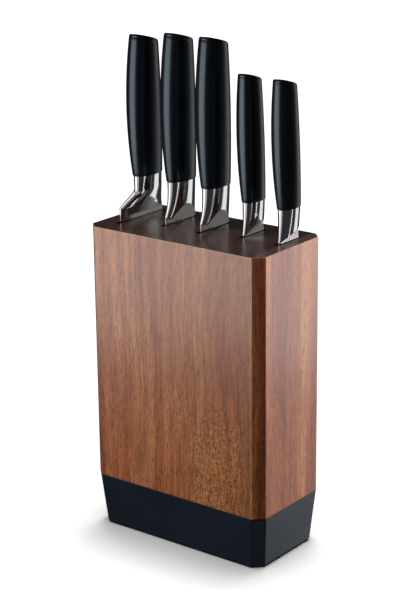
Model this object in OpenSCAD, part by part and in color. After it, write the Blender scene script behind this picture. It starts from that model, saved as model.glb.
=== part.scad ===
// Upright knife block with five knives.
// X runs across the wide front face, -Y is the front, +Z is up. The origin is the middle of the footprint.
// Every slot runs front to back; each blade hangs in its slot with its edge to the front.

/* [Block] */
// Width of the block
block_w = 139; // [139:1:150]
// Depth of the block, front to back
block_d = 69.5; // [69:0.5:80]
// Height of the block's top face above the table
block_h = 210; // [208:1:225]
// Leg of the flat chamfer on the vertical corners
corner_chamfer = 6.2; // [4:0.1:7]

/* [Slots] */
// Width of every slot, side to side
slot_w = 3.8; // [3.4:0.1:4.4]
// Distance from one slot to the next
slot_pitch = 28.7; // [28:0.1:28.8]
// Sideways offset of the middle slot from the block's middle
slot_shift = 2; // [0:0.5:2]
// Gap between a blade's heel and the front end of its slot
slot_front_gap = 3; // [2:0.5:4]
// Gap between a blade's spine and the back end of its slot
slot_rear_gap = 1.5; // [1:0.5:2]

/* [Base] */
// Height of the wood's underside above the table
base_h = 36; // [34:0.5:38]
// How far the plinth tapers in on each side at its foot
base_taper = 3; // [2:0.5:5]
// Wall thickness of the plinth
base_wall = 3; // [2.5:0.5:4]
// Thickness of a rubber foot
foot_h = 1.2; // [1:0.1:2]
// Radius of a rubber foot
foot_r = 5; // [4:0.5:6]

/* [Screws] */
// Radius of a screw's shank
screw_r = 1.75; // [1.5:0.05:2]
// Radius of a screw's head
screw_head_r = 3.5; // [3:0.1:4]
// Height of the underside of the screw heads above the table
screw_seat_z = 12; // [8:1:16]
// Height of the screw tips above the table
screw_tip_z = 56; // [50:1:66]

/* [Knives] */
// Thickness of a blade at its spine
blade_t = 2.2; // [1.8:0.1:2.4]
// Thickness of a tang
tang_t = 1.6; // [1.4:0.1:1.8]
// Width of a tang, front to back
tang_w = 9; // [7:0.5:10]
// Length of the chef's blade below its bolster
chef_len = 198; // [180:1:200]
// Length of the carving blade
carving_len = 195; // [180:1:200]
// Length of the bread blade
bread_len = 195; // [180:1:200]
// Length of the utility blade
utility_len = 125; // [110:1:150]
// Length of the paring blade
paring_len = 90; // [80:1:110]

/* [Handles] */
// Height above the block's top where a large handle begins
large_rim = 27.5; // [26:0.1:29]
// Length of a large handle, to the middle of its butt
large_len = 93.5; // [85:0.5:100]
// Height above the block's top where a small handle begins
small_rim = 21.6; // [20:0.1:23]
// Length of a small handle, to the middle of its butt
small_len = 80.6; // [75:0.1:88]
// Slant of the butt, high at the front
butt_slant = 16; // [8:0.5:18]
// Thickness of the cap on the butt
cap_t = 2; // [1.5:0.5:4]

/* [Hidden] */
$fn = 48;
eps = 0.01;
fit_gap = 0.05;
foot_x = 54;
foot_y = 20;
screw_front_y = -24;
screw_rear_y = 21;
boss_r = 5;
cavity_floor = 4;

// Places of the five knives, from left to right
CHEF = 0;
CARVING = 1;
BREAD = 2;
UTILITY = 3;
PARING = 4;

// Heel (front) and spine (back) of each blade where it enters its slot
heel_y = [-17.4, -6, -6, 1, -0.5];
spine_y = [25, 24, 23, 22, 19.5];
blade_len = [chef_len, carving_len, bread_len, utility_len, paring_len];
// Height above the block's top where each bolster ends and the blade begins
bolster_end = [6, 4.5, 4.5, 1, 1];

// Handle sections: half thickness, half depth and middle at the rim, at mid-length and at the butt
large_half_t = [6.2, 8.2, 6.9];
large_half_d = [12, 13.2, 10.5];
small_half_t = [5.2, 6.8, 5.6];
small_half_d = [9.4, 9.9, 8.4];
grip_mid_y = [
    [11.6, 9.2, 10.2],
    [11.2, 9, 10.2],
    [10.6, 8.4, 9.3],
    [12.3, 9.1, 8.2],
    [10.3, 6.2, 5.2],
];
// How much longer or shorter each grip is than its nominal length
grip_extra = [-2.5, 0.8, 1, 0, 0];

// The chef's bolster runs on down the heel as a blunt bar
heel_bar_t = 2.4;
heel_bar_d = 4;
heel_bar_drop = 14;

// ---- derived places ----
function slot_x(k) = slot_shift + (k - BREAD) * slot_pitch;
function slot_front(k) = heel_y[k] - slot_front_gap;
function slot_rear(k) = spine_y[k] + slot_rear_gap;
function is_large(k) = k <= BREAD;
function rim_z(k) = block_h + (is_large(k) ? large_rim : small_rim);
function grip_len(k) = (is_large(k) ? large_len : small_len) + grip_extra[k];
function bolster_z(k) = block_h + bolster_end[k];
function tip_z(k) = bolster_z(k) - blade_len[k];

// Value at t from 0 to 1 on the parabola through three values at 0, 1/2 and 1
function bow(v, t) = v[0] * (1 - t) * (1 - 2 * t) + v[1] * 4 * t * (1 - t) + v[2] * t * (2 * t - 1);
function half_t(k, t) = bow(is_large(k) ? large_half_t : small_half_t, t);
function half_d(k, t) = bow(is_large(k) ? large_half_d : small_half_d, t);
function mid_y(k, t) = bow(grip_mid_y[k], t);
function bezier(a, b, c, d, t) =
    a * pow(1 - t, 3) + b * 3 * t * pow(1 - t, 2) + c * 3 * t * t * (1 - t) + d * pow(t, 3);

core_front = slot_front(CHEF);
core_rear = slot_rear(CHEF);

// ---- wooden block ----
module board(x0, x1, y0, y1) {
    translate([x0, y0, base_h])
        cube([x1 - x0, y1 - y0, block_h - base_h]);
}

module chamfered_plan(w, d, c) {
    polygon([
        [-w / 2 + c, -d / 2], [w / 2 - c, -d / 2], [w / 2, -d / 2 + c], [w / 2, d / 2 - c],
        [w / 2 - c, d / 2], [-w / 2 + c, d / 2], [-w / 2, d / 2 - c], [-w / 2, -d / 2 + c],
    ]);
}

module side_board(x0, x1) {
    color("sienna")
        intersection() {
            board(x0, x1, -block_d / 2, block_d / 2);
            translate([0, 0, base_h])
                linear_extrude(block_h - base_h)
                    chamfered_plan(block_w, block_d, corner_chamfer);
        }
}

module left_side_board() side_board(-block_w / 2, slot_x(CHEF) - slot_w / 2);
module right_side_board() side_board(slot_x(PARING) + slot_w / 2, block_w / 2);

module pilot_hole(x, y) {
    translate([x, y, base_h - 1])
        cylinder(h = screw_tip_z - base_h + 1.5, r = screw_r + fit_gap);
}

function screw_x(side) = side < 0 ? slot_x(CHEF) + slot_pitch / 2 : slot_x(UTILITY) + slot_pitch / 2;

module front_board() {
    color("sienna")
        difference() {
            board(slot_x(CHEF) - slot_w / 2, slot_x(PARING) + slot_w / 2, -block_d / 2, core_front);
            for (side = [-1, 1])
                pilot_hole(screw_x(side), screw_front_y);
        }
}

module rear_board() {
    color("sienna")
        board(slot_x(CHEF) - slot_w / 2, slot_x(PARING) + slot_w / 2, core_rear, block_d / 2);
}

module core_board(k) {
    color("peru")
        board(slot_x(k) + slot_w / 2, slot_x(k + 1) - slot_w / 2, core_front, core_rear);
}

module drilled_core_board(k, side) {
    color("peru")
        difference() {
            core_board(k);
            pilot_hole(screw_x(side), screw_rear_y);
        }
}

module front_strip(k) {
    color("peru")
        board(slot_x(k) - slot_w / 2, slot_x(k) + slot_w / 2, core_front, slot_front(k));
}

module rear_strip(k) {
    color("peru")
        board(slot_x(k) - slot_w / 2, slot_x(k) + slot_w / 2, slot_rear(k), core_rear);
}

// ---- plinth, screws and feet ----
// Solid between two heights whose sides follow the plinth's taper, moved in by inset
module tapered(z0, z1, inset) {
    hull()
        for (z = [z0, z1]) {
            lean = base_taper * (base_h - z) / (base_h - foot_h);
            w = block_w - 2 * (lean + inset);
            d = block_d - 2 * (lean + inset);
            translate([0, 0, z == z1 ? z - eps : z])
                linear_extrude(eps)
                    chamfered_plan(w, d, corner_chamfer);
        }
}

module at_screws() {
    for (side = [-1, 1], y = [screw_front_y, screw_rear_y])
        translate([screw_x(side), y, 0])
            children();
}

module base_tray() {
    color([0.1, 0.13, 0.18])
        difference() {
            union() {
                difference() {
                    tapered(foot_h, base_h, 0);
                    tapered(foot_h + cavity_floor, base_h + 1, base_wall);
                }
                at_screws()
                    translate([0, 0, foot_h + 1])
                        cylinder(h = base_h - foot_h - 1, r = boss_r);
            }
            at_screws() {
                cylinder(h = screw_seat_z, r = screw_head_r + 0.3);
                cylinder(h = base_h + 1, r = screw_r + 0.3);
            }
        }
}

module base_screws() {
    head_h = 2.4;
    color("dimgray")
        at_screws() {
            translate([0, 0, screw_seat_z - head_h])
                cylinder(h = head_h, r = screw_head_r);
            translate([0, 0, screw_seat_z])
                cylinder(h = screw_tip_z - screw_seat_z, r = screw_r);
        }
}

module foot(side_x, side_y) {
    color("black")
        translate([side_x * foot_x, side_y * foot_y, 0])
            cylinder(h = foot_h, r = foot_r);
}

// ---- knives ----
// Thin slice of a handle or bolster: a softened rectangle with half sizes a and b
module oval_slice(a, b, y, z) {
    softness = 2.6;
    steps = 32;
    function reach(v) = sign(v) * pow(abs(v), 2 / softness);
    translate([0, y, z])
        linear_extrude(eps)
            polygon([for (i = [0:steps - 1])
                let (ang = (i + 0.5) * 360 / steps)
                [a * reach(cos(ang)), b * reach(sin(ang))]]);
}

// The whole grip with its slanted butt left long
module grip_blank(k) {
    stations = 6;
    over = 6;
    translate([slot_x(k), 0, 0])
        hull() {
            for (i = [0:stations])
                let (t = i / stations)
                oval_slice(half_t(k, t), half_d(k, t), mid_y(k, t), rim_z(k) + t * grip_len(k));
            oval_slice(half_t(k, 1) * 0.97, half_d(k, 1) * 0.97, mid_y(k, 1), rim_z(k) + grip_len(k) + over);
        }
}

// Everything above the slanted plane that lies a given depth below the butt
module above_butt(k, depth) {
    big = 80;
    translate([slot_x(k), mid_y(k, 1), rim_z(k) + grip_len(k)])
        rotate([-butt_slant, 0, 0])
            translate([-big / 2, -big / 2, -depth])
                cube(big);
}

module tang_space(k, grow) {
    top = rim_z(k) + grip_len(k) * 0.7 + grow;
    low = bolster_z(k) - 1;
    translate([slot_x(k) - tang_t / 2 - grow, mid_y(k, 0) - tang_w / 2 - grow, low])
        cube([tang_t + 2 * grow, tang_w + 2 * grow, top - low]);
}

module handle(k) {
    color([0.06, 0.07, 0.08])
        difference() {
            grip_blank(k);
            above_butt(k, cap_t);
            tang_space(k, fit_gap);
        }
}

module butt_cap(k) {
    color([0.1, 0.11, 0.12])
        intersection() {
            difference() {
                grip_blank(k);
                above_butt(k, 0);
            }
            above_butt(k, cap_t);
        }
}

// Polished collar: an oval under the handle that thins down to the blade
module bolster(k) {
    collar = 0.96;
    edge_t = 1.4;
    waist_z = bolster_z(k) + (rim_z(k) - bolster_z(k)) * 0.55;
    neck = half_d(k, 0) * collar;
    blade_mid = (heel_y[k] + spine_y[k]) / 2;
    blade_half = (spine_y[k] - heel_y[k]) / 2;
    color("silver")
        difference() {
            union() {
                translate([slot_x(k), 0, 0]) {
                    hull() {
                        oval_slice(half_t(k, 0) * collar, neck, mid_y(k, 0), rim_z(k) - eps);
                        oval_slice(half_t(k, 0) * 0.88, neck, mid_y(k, 0), waist_z);
                    }
                    hull() {
                        oval_slice(half_t(k, 0) * 0.88, neck, mid_y(k, 0), waist_z);
                        translate([-edge_t, blade_mid - blade_half, bolster_z(k)])
                            cube([2 * edge_t, 2 * blade_half, 1.5]);
                    }
                }
                if (k == CHEF)
                    heel_bar();
            }
            tang_space(k, fit_gap);
        }
}

module heel_bar() {
    translate([slot_x(CHEF) - heel_bar_t / 2, heel_y[CHEF], bolster_z(CHEF) - heel_bar_drop])
        cube([heel_bar_t, heel_bar_d, heel_bar_drop]);
}

// Side view of a blade, as [y, z] points: spine, curved belly and heel
function blade_outline(k, tip_back, belly) =
    let (
        top = bolster_z(k),
        tip = tip_z(k),
        spine = spine_y[k],
        heel = heel_y[k],
        steps = 14
    )
    concat(
        [[spine, top], [spine, tip + blade_len[k] * 0.25]],
        [[spine - tip_back, tip]],
        [for (i = [1:steps])
            let (t = i / steps)
            [
                bezier(spine - tip_back, heel + belly, heel, heel, t),
                bezier(tip, tip + blade_len[k] * 0.12, tip + blade_len[k] * 0.3, tip + blade_len[k] * 0.7, t),
            ]],
        [[heel, top]]
    );

// Cross-section of a blade seen from above: full thickness at the spine, thin at the edge
module blade_section(k) {
    spine = spine_y[k];
    heel = heel_y[k];
    grind = spine - (spine - heel) * 0.3;
    edge_half = 0.2;
    polygon([
        [-blade_t / 2, spine], [-blade_t / 2, grind], [-edge_half, heel],
        [edge_half, heel], [blade_t / 2, grind], [blade_t / 2, spine],
    ]);
}

module blade(k, tip_back, belly) {
    color("lightgray") {
        difference() {
            translate([slot_x(k), 0, 0])
                intersection() {
                    translate([-blade_t / 2, 0, 0])
                        rotate([90, 0, 90])
                            linear_extrude(blade_t)
                                polygon(blade_outline(k, tip_back, belly));
                    translate([0, 0, tip_z(k) - 1])
                        linear_extrude(blade_len[k] + 2)
                            blade_section(k);
                }
            if (k == CHEF)
                heel_notch();
            if (k == BREAD)
                scallops();
        }
        tang(k);
    }
}

module tang(k) {
    low = bolster_z(k) - eps;
    top = rim_z(k) + grip_len(k) * 0.7;
    translate([slot_x(k) - tang_t / 2, mid_y(k, 0) - tang_w / 2, low])
        cube([tang_t, tang_w, top - low]);
}

module heel_notch() {
    room = 0.05;
    translate([slot_x(CHEF) - 5, heel_y[CHEF] - 1, bolster_z(CHEF) - heel_bar_drop - room])
        cube([10, heel_bar_d + 1 + room, heel_bar_drop + 1]);
}

module scallops() {
    scallop_r = 5;
    scallop_pitch = 8;
    bite = 1.1;
    start = tip_z(BREAD) + bread_len * 0.2;
    end = tip_z(BREAD) + bread_len - 24;
    for (z = [start:scallop_pitch:end])
        translate([slot_x(BREAD) - 5, heel_y[BREAD] - scallop_r + bite, z])
            rotate([0, 90, 0])
                cylinder(h = 10, r = scallop_r);
}

module chef_blade() blade(CHEF, 1, 20);
module carving_blade() blade(CARVING, 0.5, 12);
module bread_blade() blade(BREAD, 12, 1);
module utility_blade() blade(UTILITY, 1, 8);
module paring_blade() blade(PARING, 2, 6);

left_side_board();
right_side_board();
front_board();
rear_board();
drilled_core_board(CHEF, -1);  // core_board_1
core_board(CARVING);  // core_board_2
core_board(BREAD);  // core_board_3
drilled_core_board(UTILITY, 1);  // core_board_4
front_strip(CARVING);  // carving_front_strip
front_strip(BREAD);  // bread_front_strip
front_strip(UTILITY);  // utility_front_strip
front_strip(PARING);  // paring_front_strip
rear_strip(UTILITY);  // utility_rear_strip
rear_strip(PARING);  // paring_rear_strip
base_tray();
base_screws();
foot(-1, -1);  // foot_front_left
foot(1, -1);  // foot_front_right
foot(-1, 1);  // foot_rear_left
foot(1, 1);  // foot_rear_right
chef_blade();
bolster(CHEF);  // chef_bolster
handle(CHEF);  // chef_handle
butt_cap(CHEF);  // chef_butt_cap
carving_blade();
bolster(CARVING);  // carving_bolster
handle(CARVING);  // carving_handle
butt_cap(CARVING);  // carving_butt_cap
bread_blade();
bolster(BREAD);  // bread_bolster
handle(BREAD);  // bread_handle
butt_cap(BREAD);  // bread_butt_cap
utility_blade();
bolster(UTILITY);  // utility_bolster
handle(UTILITY);  // utility_handle
butt_cap(UTILITY);  // utility_butt_cap
paring_blade();
bolster(PARING);  // paring_bolster
handle(PARING);  // paring_handle
butt_cap(PARING);  // paring_butt_cap
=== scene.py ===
"""Knife block with five knives: the looks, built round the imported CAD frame.

Every piece is in metres in the CAD frame: X along the wide face, -Y the front, +Z up.
Each piece takes its place and size from the CAD node that it stands for.
"""

import math

import bmesh
import bpy
import numpy as np
from mathutils import Matrix, Vector


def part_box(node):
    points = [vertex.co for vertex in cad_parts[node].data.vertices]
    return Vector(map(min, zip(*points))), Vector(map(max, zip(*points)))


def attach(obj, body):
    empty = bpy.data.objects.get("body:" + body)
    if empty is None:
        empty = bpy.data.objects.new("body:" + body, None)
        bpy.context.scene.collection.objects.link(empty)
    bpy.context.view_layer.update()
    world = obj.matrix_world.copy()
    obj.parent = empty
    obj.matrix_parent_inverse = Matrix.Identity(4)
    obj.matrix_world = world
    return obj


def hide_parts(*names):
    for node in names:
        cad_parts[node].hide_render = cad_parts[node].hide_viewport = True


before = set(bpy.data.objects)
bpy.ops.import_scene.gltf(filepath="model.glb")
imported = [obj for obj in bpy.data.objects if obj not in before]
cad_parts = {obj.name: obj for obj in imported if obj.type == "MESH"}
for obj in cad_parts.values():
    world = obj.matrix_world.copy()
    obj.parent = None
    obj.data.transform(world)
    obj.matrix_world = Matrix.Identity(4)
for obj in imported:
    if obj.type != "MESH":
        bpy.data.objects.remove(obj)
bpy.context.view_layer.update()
scene = bpy.context.scene
MM = 0.001

KNIVES = ["chef", "carving", "bread", "utility", "paring"]
BLOCK_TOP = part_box("front_board")[1].z
BLOCK_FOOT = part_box("front_board")[0].z
HALF_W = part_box("right_side_board")[1].x
HALF_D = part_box("right_side_board")[1].y
RIGHT_BOARD_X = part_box("right_side_board")[0].x
NEAR = 0.01 * MM


def chamfer_leg():
    """Leg of the chamfer on the block's corners, read off the right-hand board."""
    corners = [v.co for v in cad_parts["right_side_board"].data.vertices]
    return HALF_D - min(p.y for p in corners if p.y > 0 and p.x > HALF_W - NEAR)


CHAMFER = chamfer_leg()


def lerp(a, b, t):
    return a + (b - a) * t


def clamp01(t):
    return min(max(t, 0.0), 1.0)


def smooth(t):
    t = clamp01(t)
    return t * t * (3 - 2 * t)


# ---------------------------------------------------------------- shader helpers
class Shader:
    """A material's node tree, with short calls that add and wire nodes."""

    def __init__(self, name):
        self.material = bpy.data.materials.new(name)
        self.material.use_nodes = True
        self.tree = self.material.node_tree
        self.tree.nodes.clear()
        self.out = self.tree.nodes.new("ShaderNodeOutputMaterial")
        self.bsdf = self.tree.nodes.new("ShaderNodeBsdfPrincipled")
        self.tree.links.new(self.bsdf.outputs[0], self.out.inputs["Surface"])

    def put(self, socket, value):
        """Wires an output to the socket, or writes a plain value to it."""
        if isinstance(value, bpy.types.NodeSocket):
            self.tree.links.new(value, socket)
        elif value is not None:
            socket.default_value = value

    def node(self, kind, inputs=(), **settings):
        made = self.tree.nodes.new("ShaderNode" + kind)
        for key, value in settings.items():
            setattr(made, key, value)
        for key, value in dict(inputs).items():
            self.put(made.inputs[key], value)
        return made

    def surface(self, **inputs):
        """Sets the Principled shader: Base_Color=..., Roughness=... and so on."""
        for key, value in inputs.items():
            self.put(self.bsdf.inputs[key.replace("_", " ")], value)

    def math(self, operation, a, b=None, c=None, clamp=False):
        made = self.node("Math", operation=operation, use_clamp=clamp)
        for socket, value in zip(made.inputs, (a, b, c)):
            self.put(socket, value)
        return made.outputs[0]

    def mix(self, factor, a, b, blend="MIX"):
        made = self.node("Mix", data_type="RGBA", blend_type=blend)
        self.put(made.inputs["Factor"], factor)
        self.put(made.inputs["A"], a)
        self.put(made.inputs["B"], b)
        return made.outputs["Result"]

    def product(self, *factors):
        made = factors[0]
        for factor in factors[1:]:
            made = self.math("MULTIPLY", made, factor)
        return made

    def grey(self, value):
        return self.node("CombineColor", {0: value, 1: value, 2: value}).outputs[0]

    def place(self):
        return self.node("TexCoord").outputs["Object"]

    def moved(self, vector, **shift):
        """The vector moved by the outputs given as X=..., Y=... or Z=..."""
        offset = self.node("CombineXYZ", shift).outputs[0]
        return self.node("VectorMath", {0: vector, 1: offset}, operation="ADD").outputs[0]

    def stretch(self, vector, scale):
        return self.node("Mapping", {"Vector": vector, "Scale": scale}).outputs[0]

    def noise(self, vector, scale, detail=3.0, roughness=0.5, distortion=0.0):
        inputs = {
            "Vector": vector,
            "Scale": scale,
            "Detail": detail,
            "Roughness": roughness,
            "Distortion": distortion,
        }
        return self.node("TexNoise", inputs).outputs[0]

    def fit(self, value, low, high, to_low=0.0, to_high=1.0, kind="SMOOTHSTEP"):
        """value from low..high, eased on to to_low..to_high."""
        inputs = {
            "Value": value,
            "From Min": low,
            "From Max": high,
            "To Min": to_low,
            "To Max": to_high,
        }
        return self.node("MapRange", inputs, interpolation_type=kind).outputs[0]

    def between(self, value, low, high, soft):
        """1 between low and high, easing to 0 over a soft edge on both sides."""
        rise = self.fit(value, low - soft, low + soft)
        return self.product(rise, self.fit(value, high - soft, high + soft, 1.0, 0.0))

    def ramp(self, factor, stops):
        made = self.node("ValToRGB", {"Fac": factor})
        points = made.color_ramp.elements
        while len(points) < len(stops):
            points.new(1.0)
        for point, (position, colour) in zip(points, stops):
            point.position = position
            point.color = (*colour, 1)
        return made.outputs[0]

    def bump(self, height, strength, distance):
        inputs = {"Height": height, "Strength": strength, "Distance": distance}
        return self.node("Bump", inputs).outputs[0]


# ---------------------------------------------------------------- materials
# How far, in metres, the wood pattern moves in x and y from one board to the next
BOARD_SHIFT = (0.31, 0.17)
# How far the grain wanders sideways, and how far the figure's edges wander with it
GRAIN_SWAY = 20 * MM
FIGURE_SWAY = 12 * MM

# Figure on the front face: where each mark begins and ends, how soft its edges are, how strong it is
FRONT_FADE = (-HALF_D + 3.75 * MM, -HALF_D + 5.75 * MM)
STRIPE_X = (46 * MM, 57 * MM)
STRIPE_STRENGTH = 0.6
CHAMFER_X = HALF_W - CHAMFER
CHAMFER_SOFT = 0.3 * MM
LINE_X = (16.5 * MM, 18 * MM)
LINE_SOFT = 1.2 * MM
LINE_STRENGTH = 0.5
BIG_CURL_X = (14 * MM, 53 * MM)
BIG_CURL_SOFT = 9 * MM
BIG_CURL_Z = (75 * MM, 125 * MM)
SMALL_CURL_X = (-10 * MM, 12 * MM)
SMALL_CURL_Z = (82 * MM, 112 * MM)
SMALL_CURL_SOFT = (5 * MM, 10 * MM)
SMALL_CURL_STRENGTH = 0.45
CURL_STRENGTH = 0.75

# An upright face inside these half sizes is a slot's wall, painted nearly black as painted shade inside
# the slots
SLOT_SHADE_X = HALF_W - 7.3 * MM
SLOT_SHADE_Y = HALF_D - 0.95 * MM
SLOT_SHADE_SOFT = 0.2 * MM

# How level a face is (0 is upright, 1 is level) where end grain begins, and where it is full
END_GRAIN = (0.55, 0.8)


def wood_figure(m, colour, grain, wander, axes):
    """Adds what only the front has: a dark line, a browner stripe by the corner, curly patches."""
    straight_x, y, z = axes
    front = m.fit(y, *FRONT_FADE, 1.0, 0.0)
    x = m.math("MULTIPLY_ADD", m.math("SUBTRACT", wander, 0.5), FIGURE_SWAY, straight_x)
    before_chamfer = m.fit(straight_x, CHAMFER_X - CHAMFER_SOFT, CHAMFER_X + CHAMFER_SOFT, 1.0, 0.0)
    stripe = m.product(front, m.fit(x, *STRIPE_X, 0.0, STRIPE_STRENGTH), before_chamfer)
    colour = m.mix(stripe, colour, (0.255, 0.098, 0.034, 1))
    line = m.product(m.between(x, *LINE_X, LINE_SOFT), front, LINE_STRENGTH)
    colour = m.mix(line, colour, (0.10, 0.026, 0.010, 1))

    big = m.product(m.between(x, *BIG_CURL_X, BIG_CURL_SOFT), m.fit(z, *BIG_CURL_Z, 1.0, 0.0))
    soft_x, soft_z = SMALL_CURL_SOFT
    small = m.product(m.between(x, *SMALL_CURL_X, soft_x), m.between(z, *SMALL_CURL_Z, soft_z))
    patch = m.product(front, m.math("MULTIPLY_ADD", small, SMALL_CURL_STRENGTH, big, clamp=True))
    curls = m.noise(m.stretch(grain, (620, 620, 480)), 1.0, 3.0, 0.7, 0.8)
    curly = m.ramp(
        m.fit(curls, 0.38, 0.62, kind="LINEAR"),
        [(0.0, (0.120, 0.034, 0.010)), (0.45, (0.265, 0.098, 0.030)), (1.0, (0.520, 0.250, 0.080))],
    )
    return m.mix(m.product(patch, CURL_STRENGTH), colour, curly)


def end_grain_and_shade(m, moved, x):
    """Darker and duller wood with rings, with painted shade on the right-hand board's top that halves
    its colour there.
    """
    rings = m.noise(m.stretch(moved, (60, 420, 60)), 1.0, 3.0, 0.6, 0.6)
    colour = m.ramp(
        m.fit(rings, 0.35, 0.65, kind="LINEAR"),
        [(0.0, (0.022, 0.0078, 0.0050)), (1.0, (0.060, 0.0220, 0.0140))],
    )
    # Painted shade: the right-hand board's top is halved in colour to take back the extra light of the
    # right fill on that board
    shade = m.fit(x, RIGHT_BOARD_X - 0.1 * MM, RIGHT_BOARD_X + 0.1 * MM, 1.0, 0.5)
    return m.mix(1.0, colour, m.grey(shade), "MULTIPLY")


def wood_material():
    """Lacquered acacia: upright grain, bands, pores, curly figure, dark end grain, and painted shade in
    the slots and on the right-hand board's top.
    """
    m = Shader("acacia_wood")
    place = m.place()
    x, y, z = m.node("SeparateXYZ", {0: place}).outputs
    board = m.node("Attribute", attribute_name="board").outputs["Fac"]
    moved = m.moved(place, X=m.product(board, BOARD_SHIFT[0]), Y=m.product(board, BOARD_SHIFT[1]))

    # the grain wanders slowly sideways as it climbs
    wander = m.noise(m.stretch(moved, (9, 9, 5)), 1.0, 2.0)
    grain = m.moved(moved, X=m.product(m.math("SUBTRACT", wander, 0.5), GRAIN_SWAY))
    broad = m.noise(m.stretch(grain, (36, 36, 2.2)), 1.0, 2.0, 0.55)
    band = m.noise(m.stretch(grain, (150, 150, 5)), 1.0, 3.0, 0.6)
    fibre = m.noise(m.stretch(grain, (850, 850, 55)), 1.0, 3.0, 0.7)
    pores = m.noise(m.stretch(grain, (1200, 1200, 210)), 1.0, 2.0, 0.6)

    tone = m.math("MULTIPLY_ADD", band, 0.5, m.product(broad, 0.5))
    colour = m.ramp(
        m.fit(tone, 0.39, 0.61, kind="LINEAR"),
        [
            (0.0, (0.150, 0.034, 0.012)),
            (0.35, (0.225, 0.058, 0.019)),
            (0.65, (0.272, 0.083, 0.028)),
            (1.0, (0.340, 0.125, 0.044)),
        ],
    )
    colour = wood_figure(m, colour, grain, wander, (x, y, z))
    colour = m.mix(1.0, colour, m.grey(m.fit(fibre, 0.32, 0.68, 0.72, 1.32)), "MULTIPLY")
    pore_mask = m.fit(pores, 0.53, 0.66, 0.0, 0.62)
    colour = m.mix(pore_mask, colour, (0.075, 0.020, 0.008, 1))
    # Painted shade: the slots' walls are painted nearly black for the shade deep in the slots
    inside = m.product(
        m.between(x, -SLOT_SHADE_X, SLOT_SHADE_X, SLOT_SHADE_SOFT),
        m.between(y, -SLOT_SHADE_Y, SLOT_SHADE_Y, SLOT_SHADE_SOFT),
    )
    colour = m.mix(inside, colour, (0.010, 0.004, 0.0025, 1))

    facing = m.node("NewGeometry").outputs["Normal"]
    up = m.math("ABSOLUTE", m.node("SeparateXYZ", {0: facing}).outputs["Z"])
    colour = m.mix(m.fit(up, *END_GRAIN), colour, end_grain_and_shade(m, moved, x))
    height = m.math("SUBTRACT", fibre, m.product(pore_mask, 0.6))
    m.surface(
        Base_Color=colour,
        Roughness=m.fit(up, *END_GRAIN, 0.25, 0.31),
        Specular_IOR_Level=0.8,
        Normal=m.bump(height, 0.12, 0.1 * MM),
    )
    return m.material


def satin_plastic(name, colour, roughness, grain_mm, strength):
    """Moulded plastic with a fine, even texture."""
    m = Shader(name)
    place = m.place()
    speckle = m.noise(place, 1 / (grain_mm * MM), 2.0)
    cloud = m.noise(place, 18.0, 2.0)
    darker = tuple(c * 0.8 for c in colour)
    m.surface(
        Base_Color=m.mix(m.fit(cloud, 0.3, 0.7), (*darker, 1), (*colour, 1)),
        Roughness=m.fit(cloud, 0.3, 0.7, roughness - 0.03, roughness + 0.03),
        Specular_IOR_Level=0.5,
        Specular_Tint=(0.66, 0.84, 1.0, 1),
        Normal=m.bump(speckle, strength, 0.05 * MM),
    )
    return m.material


def steel_material(name, colour, roughness, brushing):
    """Steel with a faint brushed finish along its length."""
    m = Shader(name)
    place = m.place()
    brushed = m.noise(m.stretch(place, (2600, 2600, 60)), 1.0, 2.0)
    smear = m.noise(place, 55.0, 2.0)
    darker = tuple(c * 0.93 for c in colour)
    m.surface(
        Base_Color=m.mix(m.fit(brushed, 0.3, 0.7), (*darker, 1), (*colour, 1)),
        Metallic=1.0,
        Roughness=m.fit(smear, 0.3, 0.7, roughness * 0.85, roughness * 1.15),
        Normal=m.bump(brushed, brushing, 0.02 * MM),
    )
    return m.material


WOOD = wood_material()
BASE = satin_plastic("base_plastic_blue_black", (0.0070, 0.0105, 0.0180), 0.30, 0.5, 0.10)
GRIP = satin_plastic("grip_plastic_black", (0.0030, 0.0042, 0.0062), 0.28, 0.35, 0.04)
CAP = satin_plastic("cap_plastic_black", (0.0030, 0.0042, 0.0062), 0.24, 0.35, 0.04)
RUBBER = satin_plastic("foot_rubber_black", (0.02, 0.02, 0.02), 0.7, 0.4, 0.3)
POLISHED = steel_material("bolster_steel", (0.68, 0.68, 0.67), 0.11, 0.01)
BLADE = steel_material("blade_steel_brushed", (0.78, 0.78, 0.77), 0.36, 0.15)
SCREW = steel_material("screw_steel_dull", (0.35, 0.35, 0.36), 0.4, 0.2)


# ---------------------------------------------------------------- mesh helpers
def new_piece(name, mesh, material, body, nodes):
    """Shows the mesh as a named piece that rides on its body in place of the CAD nodes."""
    piece = bpy.data.objects.new(name, mesh)
    scene.collection.objects.link(piece)
    mesh.materials.clear()
    mesh.materials.append(material)
    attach(piece, body)
    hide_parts(*nodes)
    return piece


def loft(rings):
    """One closed skin through rings of equal length, each a closed loop of points."""
    bm = bmesh.new()
    loops = [[bm.verts.new(p) for p in ring] for ring in rings]
    count = len(rings[0])
    for low, high in zip(loops, loops[1:]):
        for i in range(count):
            j = (i + 1) % count
            bm.faces.new((low[i], low[j], high[j], high[i]))
    bm.faces.new(loops[0][::-1])
    bm.faces.new(loops[-1])
    return bm


def plain_mesh(bm, name):
    mesh = bpy.data.meshes.new(name)
    bm.to_mesh(mesh)
    bm.free()
    return mesh


def finish_mesh(bm, name, sharp_degrees=40):
    """The bmesh as a mesh, smooth but for edges sharper than the angle."""
    bmesh.ops.recalc_face_normals(bm, faces=bm.faces)
    mesh = plain_mesh(bm, name)
    mesh.shade_smooth()
    mesh.set_sharp_from_angle(angle=math.radians(sharp_degrees))
    return mesh


def copy_of(node):
    """The CAD node's mesh as clean faces in bmesh, for a piece with softer edges."""
    bm = bmesh.new()
    bm.from_mesh(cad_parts[node].data)
    bmesh.ops.remove_doubles(bm, verts=bm.verts, dist=0.002 * MM)
    bmesh.ops.dissolve_limit(bm, angle_limit=math.radians(0.5), verts=bm.verts, edges=bm.edges)
    return bm


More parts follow.
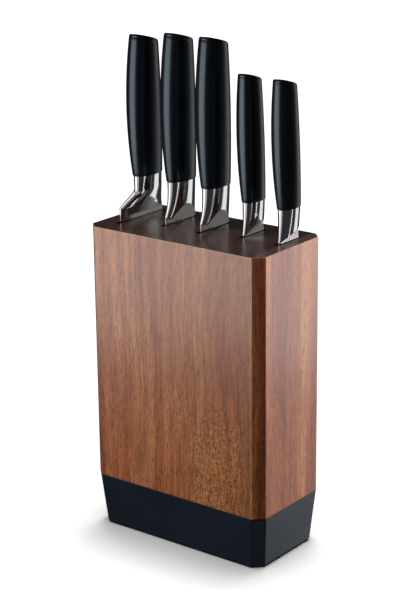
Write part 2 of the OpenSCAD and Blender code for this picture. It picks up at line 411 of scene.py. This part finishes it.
def oval(half_x, half_y, softness, steps):
    """Closed loop of (x, y): an oval whose softness of 2 is an ellipse and more is squarer."""
    points = []
    for i in range(steps):
        angle = 2 * math.pi * i / steps
        c, s = math.cos(angle), math.sin(angle)
        x = math.copysign(abs(c) ** (2 / softness), c)
        y = math.copysign(abs(s) ** (2 / softness), s)
        points.append((half_x * x, half_y * y))
    return points


# ---------------------------------------------------------------- wooden block
EDGE_SOFT = 0.45 * MM
BOARD_ENDINGS = ("_board", "_strip")


def on_outline(p, inset=0.0, near=NEAR):
    """True for a point on the block's chamfered plan, moved in by inset on every side."""
    x, y = abs(p.x), abs(p.y)
    corner = HALF_W + HALF_D - CHAMFER - 2 * inset
    return (
        abs(x - (HALF_W - inset)) < near
        or abs(y - (HALF_D - inset)) < near
        or abs(x + y - corner) < 2 * near
    )


def board_piece(node, number):
    """A board with its outer rims eased, as a sander leaves them."""
    bm = copy_of(node)

    def level_at(edge, z):
        return all(abs(v.co.z - z) < NEAR for v in edge.verts)

    rims = [
        e
        for e in bm.edges
        if (level_at(e, BLOCK_TOP) or level_at(e, BLOCK_FOOT))
        and all(on_outline(v.co) for v in e.verts)
        and on_outline((e.verts[0].co + e.verts[1].co) / 2)
    ]
    bmesh.ops.bevel(bm, geom=rims, offset=EDGE_SOFT, segments=2, profile=0.5, affect="EDGES")
    mesh = plain_mesh(bm, node + "_wood")
    shift = mesh.attributes.new("board", "FLOAT", "POINT")
    shift.data.foreach_set("value", [float(number)] * len(mesh.vertices))
    return new_piece(node + "_wood", mesh, WOOD, "block", [node])


def is_board(name):
    return name.endswith(BOARD_ENDINGS) or name.startswith("core_board")


BOARDS = [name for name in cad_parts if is_board(name)]
for number, node in enumerate(BOARDS):
    board_piece(node, number)


# ---------------------------------------------------------------- base
BASE_SOFT = 0.6 * MM
BASE_NEAR = 0.05 * MM
BASE_CORNER = math.radians(20)


def base_piece():
    """The plinth with its outer rims and corners eased."""
    bm = copy_of("base_tray")
    low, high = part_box("base_tray")
    foot = [v.co for v in bm.verts if abs(v.co.z - low.z) < BASE_NEAR]
    taper = HALF_W - max(p.x for p in foot)

    def outer(edge):
        return all(
            on_outline(v.co, taper * (high.z - v.co.z) / (high.z - low.z), BASE_NEAR)
            for v in edge.verts
        )

    rims = [
        e
        for e in bm.edges
        if outer(e) and len(e.link_faces) == 2 and e.calc_face_angle() > BASE_CORNER
    ]
    bmesh.ops.bevel(bm, geom=rims, offset=BASE_SOFT, segments=3, profile=0.5, affect="EDGES")
    mesh = plain_mesh(bm, "base_shell")
    return new_piece("base_shell", mesh, BASE, "block", ["base_tray"])


def shown_as_is(name):
    """The material of a CAD node that is shown unchanged, or None."""
    if name.startswith("foot_"):
        return RUBBER
    if name == "base_screws":
        return SCREW
    if name.endswith("_blade"):
        return BLADE
    return None


base_piece()
for name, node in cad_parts.items():
    material = shown_as_is(name)
    if material:
        node.data.materials.clear()
        node.data.materials.append(material)


# ---------------------------------------------------------------- knives
BUTT_DOME = 0.5 * MM
BUTT_CROWN = 0.35 * MM
BUTT_ROUND = 1.3 * MM
SEAM_DROP = 2.1 * MM
SEAM_GAP = 0.12 * MM
RIM_ROUND = 0.5 * MM
RINGS_PER_GRIP = 40
RINGS_PER_BUTT = 8


def sections(mesh, heights):
    """Lowest and highest (x, y) of the mesh's cut at each height."""
    co = np.array([v.co for v in mesh.vertices])
    ends = np.array([e.vertices for e in mesh.edges])
    low, high = co[ends[:, 0]], co[ends[:, 1]]
    found = []
    for z in heights:
        cut = (low[:, 2] - z) * (high[:, 2] - z) < 0
        a, b = low[cut], high[cut]
        share = ((z - a[:, 2]) / (b[:, 2] - a[:, 2]))[:, None]
        at = a + (b - a) * share
        found.append((at.min(0)[:2], at.max(0)[:2]))
    return np.array(found)


class Grip:
    """What a CAD handle says: its half thickness, half depth and middle at each height, and its butt."""

    # Points round a ring, and how square its oval is
    STEPS = 64
    SOFTNESS = 2.08
    # The shown oval is rounder than the CAD handle's section. Its axes are longer by this factor,
    # which keeps the CAD handle's outline as the camera sees it.
    FULLNESS = 1.09
    # Heights at which the CAD handle is cut, and how far inside its ends the cuts stay
    CUTS = 40
    CUT_MARGIN = 0.1 * MM

    def __init__(self, knife):
        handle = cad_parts[knife + "_handle"].data
        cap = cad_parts[knife + "_butt_cap"].data
        top_face = max((p for p in cap.polygons if p.normal.z > 0.9), key=lambda p: p.area)
        self.slope = -top_face.normal.y / top_face.normal.z
        self.face_point = cap.vertices[top_face.vertices[0]].co
        low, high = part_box(knife + "_handle")
        self.rim = low.z
        self.x = (low.x + high.x) / 2
        lowest_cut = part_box(knife + "_butt_cap")[0].z
        heights = np.linspace(low.z + self.CUT_MARGIN, lowest_cut - self.CUT_MARGIN, self.CUTS)
        cuts = sections(handle, heights)
        self.fit_t = np.polyfit(heights, (cuts[:, 1, 0] - cuts[:, 0, 0]) / 2, 2)
        self.fit_d = np.polyfit(heights, (cuts[:, 1, 1] - cuts[:, 0, 1]) / 2, 2)
        self.fit_m = np.polyfit(heights, (cuts[:, 1, 1] + cuts[:, 0, 1]) / 2, 2)
        # The butt's height hangs on the grip's middle there and the other way round, so settle them
        self.top_mid = lowest_cut
        for _ in range(6):
            self.top_mid = self.flat_butt(self.mid(self.top_mid))

    def flat_butt(self, y):
        """Height of the CAD butt's slanted plane."""
        return self.face_point.z + self.slope * (y - self.face_point.y)

    def half_t(self, z):
        return self.FULLNESS * float(np.polyval(self.fit_t, z))

    def half_d(self, z):
        return self.FULLNESS * float(np.polyval(self.fit_d, z))

    def mid(self, z):
        return float(np.polyval(self.fit_m, z))

    def butt(self, y):
        """Height of the butt's surface: slanted, and domed so that it falls faster to the rear."""
        share = (y - self.mid(self.top_mid)) / self.half_d(self.top_mid)
        return self.flat_butt(y) - BUTT_DOME * share * share

    def ring(self, height, inset=0.0):
        """A closed loop round the grip; height(y) gives the loop's height at each place."""
        points = []
        for ux, uy in oval(1, 1, self.SOFTNESS, self.STEPS):
            z = height(self.mid(self.rim))
            for _ in range(3):
                y = self.mid(z) + (self.half_d(z) - inset) * uy
                z = height(y)
            points.append((self.x + (self.half_t(z) - inset) * ux, y, z))
        return points


def rounded(radius, steps, start, end):
    """(inset, rise) along a quarter round, angles in degrees."""
    for i in range(steps + 1):
        angle = math.radians(lerp(start, end, i / steps))
        yield radius * (1 - math.cos(angle)), radius * math.sin(angle)


def handle_piece(knife, grip):
    """The grip from its rounded rim up to the seam under the cap, tilting into the butt's slant."""
    rings = []
    for inset, rise in rounded(RIM_ROUND, 4, 90, 0):
        rings.append(grip.ring(lambda y: grip.rim + RIM_ROUND - rise, inset))
    foot = grip.rim + RIM_ROUND
    middle = grip.butt(grip.mid(grip.top_mid))
    reach = middle - SEAM_DROP - SEAM_GAP - foot
    for i in range(1, RINGS_PER_GRIP + 1):
        t = i / RINGS_PER_GRIP
        rings.append(grip.ring(lambda y: foot + t * reach + t ** 3 * (grip.butt(y) - middle)))
    for inset, rise in list(rounded(SEAM_GAP, 2, 0, 90))[1:]:
        rings.append(grip.ring(lambda y: grip.butt(y) - SEAM_DROP - SEAM_GAP + rise, inset))
    mesh = finish_mesh(loft(rings), knife + "_grip")
    body = knife + "_knife"
    return new_piece(knife + "_grip", mesh, GRIP, body, [knife + "_handle"])


def cap_piece(knife, grip):
    """The cap on the butt, with a fine seam below it, a rounded rim and a slight crown."""
    rings = []
    for inset, rise in rounded(SEAM_GAP, 2, 90, 0):
        rings.append(grip.ring(lambda y: grip.butt(y) - SEAM_DROP + SEAM_GAP - rise, inset))
    for inset, rise in rounded(BUTT_ROUND, 8, 0, 90):
        rings.append(grip.ring(lambda y: grip.butt(y) - BUTT_ROUND + rise, inset))
    flat = rings[-1]
    centre_y = grip.mid(grip.top_mid)
    for i in range(1, RINGS_PER_BUTT):
        share = i / RINGS_PER_BUTT
        crown = BUTT_CROWN * (1 - (1 - share) ** 2)
        ring = []
        for x, y, _ in flat:
            inner_y = lerp(y, centre_y, share)
            ring.append((lerp(x, grip.x, share), inner_y, grip.butt(inner_y) + crown))
        rings.append(ring)
    mesh = finish_mesh(loft(rings), knife + "_cap")
    body = knife + "_knife"
    return new_piece(knife + "_cap", mesh, CAP, body, [knife + "_butt_cap"])


# Each bolster's side is hollowed down to the blade. Heights are above the block's top:
# low: where the hollow is down to the blade's thickness, at the heel
# high: where the hollow runs out, at the front
# lean: how much higher it runs at the rear
# swell: the body's half thickness down there
# foot: the bolster's lower end
HOLLOW = {
    "chef": dict(low=3.2 * MM, high=4.8 * MM, lean=0.0, swell=4.0 * MM, foot=-2.5 * MM),
    "carving": dict(low=-1.5 * MM, high=10.9 * MM, lean=0.8 * MM, swell=4.4 * MM, foot=4.8 * MM),
    "bread": dict(low=-1.5 * MM, high=10.9 * MM, lean=0.8 * MM, swell=4.4 * MM, foot=4.8 * MM),
    "utility": dict(low=0.8 * MM, high=4.4 * MM, lean=6 * MM, swell=3.6 * MM, foot=-2 * MM),
    "paring": dict(low=0.9 * MM, high=2.6 * MM, lean=7 * MM, swell=3.6 * MM, foot=-2 * MM),
}


class Bolster:
    """A polished oval body under the handle, swept forward to the heel and hollowed on both sides."""

    # Rings down the body, rings in its skirt, points on a round part and across the hollow
    RINGS = 70
    SKIRT_RINGS = 4
    SIDE = 22
    FLAT = 14
    # The bolster's width and depth at the rim, as a share of the grip's
    COLLAR = 0.955
    # Where the chef's bolster sweeps forward, above the block's top, and how soft its bend is
    SWEEP_TOP = 19.3 * MM
    SWEEP_FOOT = 9.3 * MM
    SWEEP_BEND = 0.42
    # Powers by which the other bolsters' fronts, every body's thickness and every hollow curve
    SWEEP_POWER = 3
    SWELL_POWER = 1.4
    HOLLOW_POWER = 1.15
    # How far the bolster stands proud of the blade, and the hollow's rim of the body
    BLADE_PROUD = 0.05 * MM
    RIM_PROUD = 0.6 * MM
    # Slope of the lower edge of a bolster that ends above the block, and the steps between the
    # last rings: down to that edge, along it, and from the shoulder to the skirt
    PLUNGE_SLOPE = 0.225
    EDGE_STEP = 0.6 * MM
    LAST_STEP = 0.2 * MM
    SHOULDER_STEP = 0.4 * MM
    # The search for the hollow's rims: angles tried, the first angle, the half span where
    # there is no hollow, and the span below which it counts as none
    ANGLES = 240
    FIRST_ANGLE = 0.02
    PINCH = 0.08
    NARROW = 0.17

    def __init__(self, knife, grip):
        low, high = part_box(knife + "_blade")
        self.knife, self.x = knife, grip.x
        self.heel, self.spine = low.y, high.y
        self.blade_half = (high.x - low.x) / 2 + self.BLADE_PROUD
        self.top = grip.rim + RIM_ROUND
        self.thick = grip.half_t(grip.rim) * self.COLLAR
        self.front = grip.mid(grip.rim) - grip.half_d(grip.rim) * self.COLLAR
        self.rear = grip.mid(grip.rim) + grip.half_d(grip.rim) * self.COLLAR
        hollow = HOLLOW[knife]
        self.low, self.high, self.lean = hollow["low"], hollow["high"], hollow["lean"]
        self.swell = hollow["swell"]
        self.ends_above = hollow["foot"] > 0
        self.foot = BLOCK_TOP + hollow["foot"]
        self.shoulder = BLOCK_TOP + max(hollow["low"], hollow["foot"])

    def swept(self, z):
        """How far the front edge has moved from the handle (0) to the heel (1)."""
        if self.knife != "chef":
            return clamp01((self.top - z) / (self.top - self.shoulder)) ** self.SWEEP_POWER
        w = clamp01((BLOCK_TOP + self.SWEEP_TOP - z) / (self.SWEEP_TOP - self.SWEEP_FOOT))
        bend = self.SWEEP_BEND
        soft = w * w / (2 * bend) if w < bend else w - bend / 2
        return soft / (1 - bend / 2)

    def body(self, z, angle):
        """Half thickness and y of the oval body at an angle from its nose (0) to its back (pi)."""
        s = clamp01((self.top - z) / (self.top - self.shoulder))
        front = lerp(self.front, self.heel, self.swept(z))
        rear = lerp(self.rear, self.spine, smooth(s))
        half = lerp(self.thick, self.swell, s ** self.SWELL_POWER)
        return half * math.sin(angle), lerp(front, rear, (1 - math.cos(angle)) / 2)

    def cut(self, z, y):
        """Half thickness that the hollow leaves at this place."""
        across = clamp01((y - self.heel) / (self.spine - self.heel))
        low = BLOCK_TOP + self.low + self.lean * across
        share = max(z - low, 0) / (self.high - self.low)
        depth = self.swell - self.blade_half + self.RIM_PROUD
        return self.blade_half + depth * share ** self.HOLLOW_POWER

    def hollowed(self, z):
        """The angles between which the hollow has taken the body away, or a narrow span if it hasn't."""
        angles = np.linspace(self.FIRST_ANGLE, math.pi - self.FIRST_ANGLE, self.ANGLES)
        proud = []
        for angle in angles:
            half, y = self.body(z, angle)
            proud.append(half - self.cut(z, y))
        proud = np.array(proud)
        inside = np.where(proud > 0)[0]
        if len(inside) < 2:
            peak = angles[proud.argmax()]
            return peak - self.PINCH, peak + self.PINCH
        ends = []
        for i, step in ((inside[0], -1), (inside[-1], 1)):
            j = min(max(i + step, 0), len(angles) - 1)
            gap = proud[i] - proud[j]
            ends.append(lerp(angles[i], angles[j], proud[i] / gap if gap > 0 else 0))
        return ends

    def side(self, z):
        """Points (half thickness, y) from nose to back, with exact corners at the hollow's rims."""
        first, last = self.hollowed(z)
        points = [self.body(z, a) for a in np.linspace(0, first, self.SIDE)]
        start, end = points[-1][1], self.body(z, last)[1]
        for i in range(1, self.FLAT):
            if last - first < self.NARROW:
                points.append(self.body(z, lerp(first, last, i / self.FLAT)))
            else:
                y = lerp(start, end, i / self.FLAT)
                points.append((self.cut(z, y), y))
        points += [self.body(z, a) for a in np.linspace(last, math.pi, self.SIDE)]
        return points

    def loop(self, z, drop=None):
        """The closed loop at height z, or the same plan at drop(y) and thinned to the hollow there."""
        side = self.side(z)
        right = [(self.x + half, y) for half, y in side]
        left = [(self.x - half, y) for half, y in side[-2:0:-1]]
        if drop is None:
            return [(x, y, z) for x, y in right + left]
        points = []
        for x, y in right + left:
            half = min(abs(x - self.x), self.cut(drop(y), y))
            points.append((self.x + math.copysign(half, x - self.x), y, drop(y)))
        return points

    def slanted(self, y):
        """Height of the lower edge of a bolster that ends above the block."""
        return self.foot - self.PLUNGE_SLOPE * (y - self.heel)

    def rings(self):
        if self.ends_above:
            levels = np.linspace(self.top, self.shoulder + self.EDGE_STEP, self.RINGS)
            rings = [self.loop(z) for z in levels]
            rings.append(self.loop(self.foot, lambda y: self.slanted(y) + self.LAST_STEP))
            rings.append(self.loop(self.foot, self.slanted))
            return rings
        body = np.linspace(self.top, self.shoulder, self.RINGS)
        skirt = np.linspace(self.shoulder - self.SHOULDER_STEP, self.foot, self.SKIRT_RINGS)
        return [self.loop(z) for z in [*body, *skirt]]


BOLSTER_SHARP = 28


def bolster_piece(knife, grip):
    name = knife + "_bolster_steel"
    mesh = finish_mesh(loft(Bolster(knife, grip).rings()), name, BOLSTER_SHARP)
    body = knife + "_knife"
    return new_piece(name, mesh, POLISHED, body, [knife + "_bolster"])


for knife in KNIVES:
    grip = Grip(knife)
    handle_piece(knife, grip)
    cap_piece(knife, grip)
    bolster_piece(knife, grip)


# ---------------------------------------------------------------- floor, lights and camera
def heading(azimuth, elevation):
    """Unit vector from the object towards a place; azimuth 0 is the front and 90 the right-hand side."""
    a, e = math.radians(azimuth), math.radians(elevation)
    return Vector((math.sin(a) * math.cos(e), -math.cos(a) * math.cos(e), math.sin(e)))


FLOOR_SIZE = 6.0
FLOOR_CELLS = 12


def floor_material():
    m = Shader("paper_floor")
    tooth = m.noise(m.place(), 900.0, 2.0)
    m.surface(
        Base_Color=(0.9, 0.9, 0.895, 1),
        Roughness=0.9,
        Specular_IOR_Level=0.0,
        Normal=m.bump(tooth, 0.05, 0.05 * MM),
    )
    return m.material


def floor_piece():
    """A plain pale floor that only the camera sees, so that it adds no light to the object."""
    bm = bmesh.new()
    bmesh.ops.create_grid(bm, x_segments=FLOOR_CELLS, y_segments=FLOOR_CELLS, size=FLOOR_SIZE)
    mesh = plain_mesh(bm, "floor")
    mesh.materials.append(floor_material())
    floor = bpy.data.objects.new("floor", mesh)
    scene.collection.objects.link(floor)
    floor.visible_glossy = False
    floor.visible_diffuse = False
    floor.visible_shadow = False
    return floor


def receivers(name, things):
    """A collection of the things that a light is linked to."""
    made = bpy.data.collections.new(name)
    for thing in things:
        made.objects.link(thing)
    return made


SHOWN = [o for o in scene.objects if o.type == "MESH"]
STEEL_ENDINGS = ("_bolster_steel", "_blade")
GRIP_ENDINGS = ("_grip", "_cap")
RIGHT_SIDE = ("right_side_board_wood", "base_shell")

floor_only = receivers("floor_only", [floor_piece()])
steel_only = receivers("steel_only", [o for o in SHOWN if o.name.endswith(STEEL_ENDINGS)])
grip_only = receivers("grip_only", [o for o in SHOWN if o.name.endswith(GRIP_ENDINGS)])
matt_only = receivers(
    "matt_only", [o for o in SHOWN if not o.name.endswith(STEEL_ENDINGS + GRIP_ENDINGS)]
)
right_side = receivers("right_side", [o for o in SHOWN if o.name.startswith(RIGHT_SIDE)])
base_only = receivers("base_only", [o for o in SHOWN if o.name == "base_shell"])


def add_light(name, kind, place, direction, energy, lit):
    """A light that shines along the direction on the lit collection alone."""
    data = bpy.data.lights.new(name, kind)
    data.energy = energy
    light = bpy.data.objects.new(name, data)
    scene.collection.objects.link(light)
    light.location = place
    light.rotation_mode = "QUATERNION"
    light.rotation_quaternion = direction.to_track_quat("-Z", "Y")
    light.light_linking.receiver_collection = lit
    return light


def softbox(name, place, aim, width, height, radiance, colour, lit):
    """A rectangular softbox, as bright all over as its radiance says."""
    power = radiance * math.pi * width * height
    light = add_light(name, "AREA", place, aim - place, power, lit)
    light.data.shape = "RECTANGLE"
    light.data.size, light.data.size_y = width, height
    light.data.color = colour
    light.visible_camera = False


UPRIGHT_FAR = 0.9
UPRIGHT_COLOUR = (1.0, 0.985, 0.97)
HIGH_FAR = 0.95
HIGH_AIM = Vector((0, 0, 0.12))
HIGH_COLOUR = (1.0, 0.975, 0.955)

# Standing softboxes round the object. A low edge below the floor is on purpose: the camera looks
# down, so upright faces mirror what is below the horizon, and the floor doesn't block the light.
# name, azimuth, low edge, high edge, width, radiance, what it lights
UPRIGHT_PANELS = [
    ("left_softbox", -38, -0.155, 1.3, 0.60, 2.8, matt_only),
    ("left_card", -2, -0.16, 0.9, 0.90, 0.3, matt_only),
    ("right_softbox", 149, -0.19, 0.2, 0.52, 2.6, matt_only),
    ("right_low", 148, -0.60, -0.19, 0.50, 0.75, matt_only),
    ("right_high", 148, 0.2, 0.42, 0.45, 2.4, matt_only),
    ("left_steel", -40, -0.30, 1.3, 0.72, 1.7, steel_only),
    ("left_steel_card", -2, -0.30, 1.4, 0.90, 0.55, steel_only),
    ("right_steel", 154, -0.30, 0.5, 0.36, 1.1, steel_only),
    ("thin_strip", 121, -0.30, 0.5, 0.035, 2.4, steel_only),
    ("base_card", 52, -0.60, -0.10, 0.40, 0.5, base_only),
    ("left_grip", -12, -0.30, 0.6, 1.10, 3.9, grip_only),
    ("right_grip", 163, -0.30, 0.6, 0.36, 0.9, grip_only),
]
# Square softboxes high up, facing the block's top
# name, azimuth, elevation, width, radiance, what it lights
HIGH_PANELS = [
    ("left_fill", -42, 48, 0.5, 7.4, matt_only),
    ("right_fill", 138, 50, 0.8, 13.5, right_side),
    ("top_glow", 168, 42, 0.5, 2.2, matt_only),
    ("top_steel", 30, 78, 1.0, 0.40, steel_only),
    ("side_steel", -103, 50, 0.6, 1.2, steel_only),
]
# Even light on the floor alone, for its white and its soft shadow
# name, azimuth, elevation, spread in degrees, strength
SKIES = [("floor_key", 192, 81, 16, 1.7), ("floor_fill", 20, 88, 50, 2.5)]

for name, azimuth, low, high, width, radiance, lit in UPRIGHT_PANELS:
    middle = Vector((0, 0, (low + high) / 2))
    place = middle + heading(azimuth, 0) * UPRIGHT_FAR
    softbox(name, place, middle, width, high - low, radiance, UPRIGHT_COLOUR, lit)
for name, azimuth, elevation, width, radiance, lit in HIGH_PANELS:
    place = HIGH_AIM + heading(azimuth, elevation) * HIGH_FAR
    softbox(name, place, HIGH_AIM, width, width, radiance, HIGH_COLOUR, lit)
for name, azimuth, elevation, spread, strength in SKIES:
    sun = add_light(name, "SUN", (0, 0, 0), -heading(azimuth, elevation), strength, floor_only)
    sun.data.angle = math.radians(spread)
    sun.visible_glossy = False


ROOM_GREY = (0.035, 0.037, 0.042, 1)


def studio_world():
    """White to the camera, and a dim grey room to everything else."""
    world = bpy.data.worlds.new("studio")
    scene.world = world
    world.use_nodes = True
    tree = world.node_tree
    tree.nodes.clear()
    out = tree.nodes.new("ShaderNodeOutputWorld")
    mix = tree.nodes.new("ShaderNodeMixShader")
    path = tree.nodes.new("ShaderNodeLightPath")
    room = tree.nodes.new("ShaderNodeBackground")
    white = tree.nodes.new("ShaderNodeBackground")
    room.inputs["Color"].default_value = ROOM_GREY
    white.inputs["Color"].default_value = (1, 1, 1, 1)
    tree.links.new(path.outputs["Is Camera Ray"], mix.inputs[0])
    tree.links.new(room.outputs[0], mix.inputs[1])
    tree.links.new(white.outputs[0], mix.inputs[2])
    tree.links.new(mix.outputs[0], out.inputs["Surface"])


studio_world()
scene.view_settings.view_transform = "Standard"

VIEW_AZIMUTH = 37.81
VIEW_ELEVATION = 17.68
VIEW_ROLL = math.radians(-0.658)
VIEW_AIM = Vector((-0.0021, -0.0016, 0.1622))
VIEW_DISTANCE = 1.1486
LENS_MM = 105.64
SENSOR_MM = 36


def add_camera():
    """A long lens without shift, looking down a little at the front and the right-hand side."""
    data = bpy.data.cameras.new("camera")
    data.sensor_width = SENSOR_MM
    data.lens = LENS_MM
    camera = bpy.data.objects.new("camera", data)
    scene.collection.objects.link(camera)
    back = heading(VIEW_AZIMUTH, VIEW_ELEVATION)
    right = (-back).cross(Vector((0, 0, 1))).normalized()
    up = right.cross(-back)
    cos, sin = math.cos(VIEW_ROLL), math.sin(VIEW_ROLL)
    turn = Matrix((cos * right + sin * up, cos * up - sin * right, back)).transposed().to_4x4()
    camera.matrix_world = Matrix.Translation(VIEW_AIM + back * VIEW_DISTANCE) @ turn
    scene.camera = camera


add_camera()
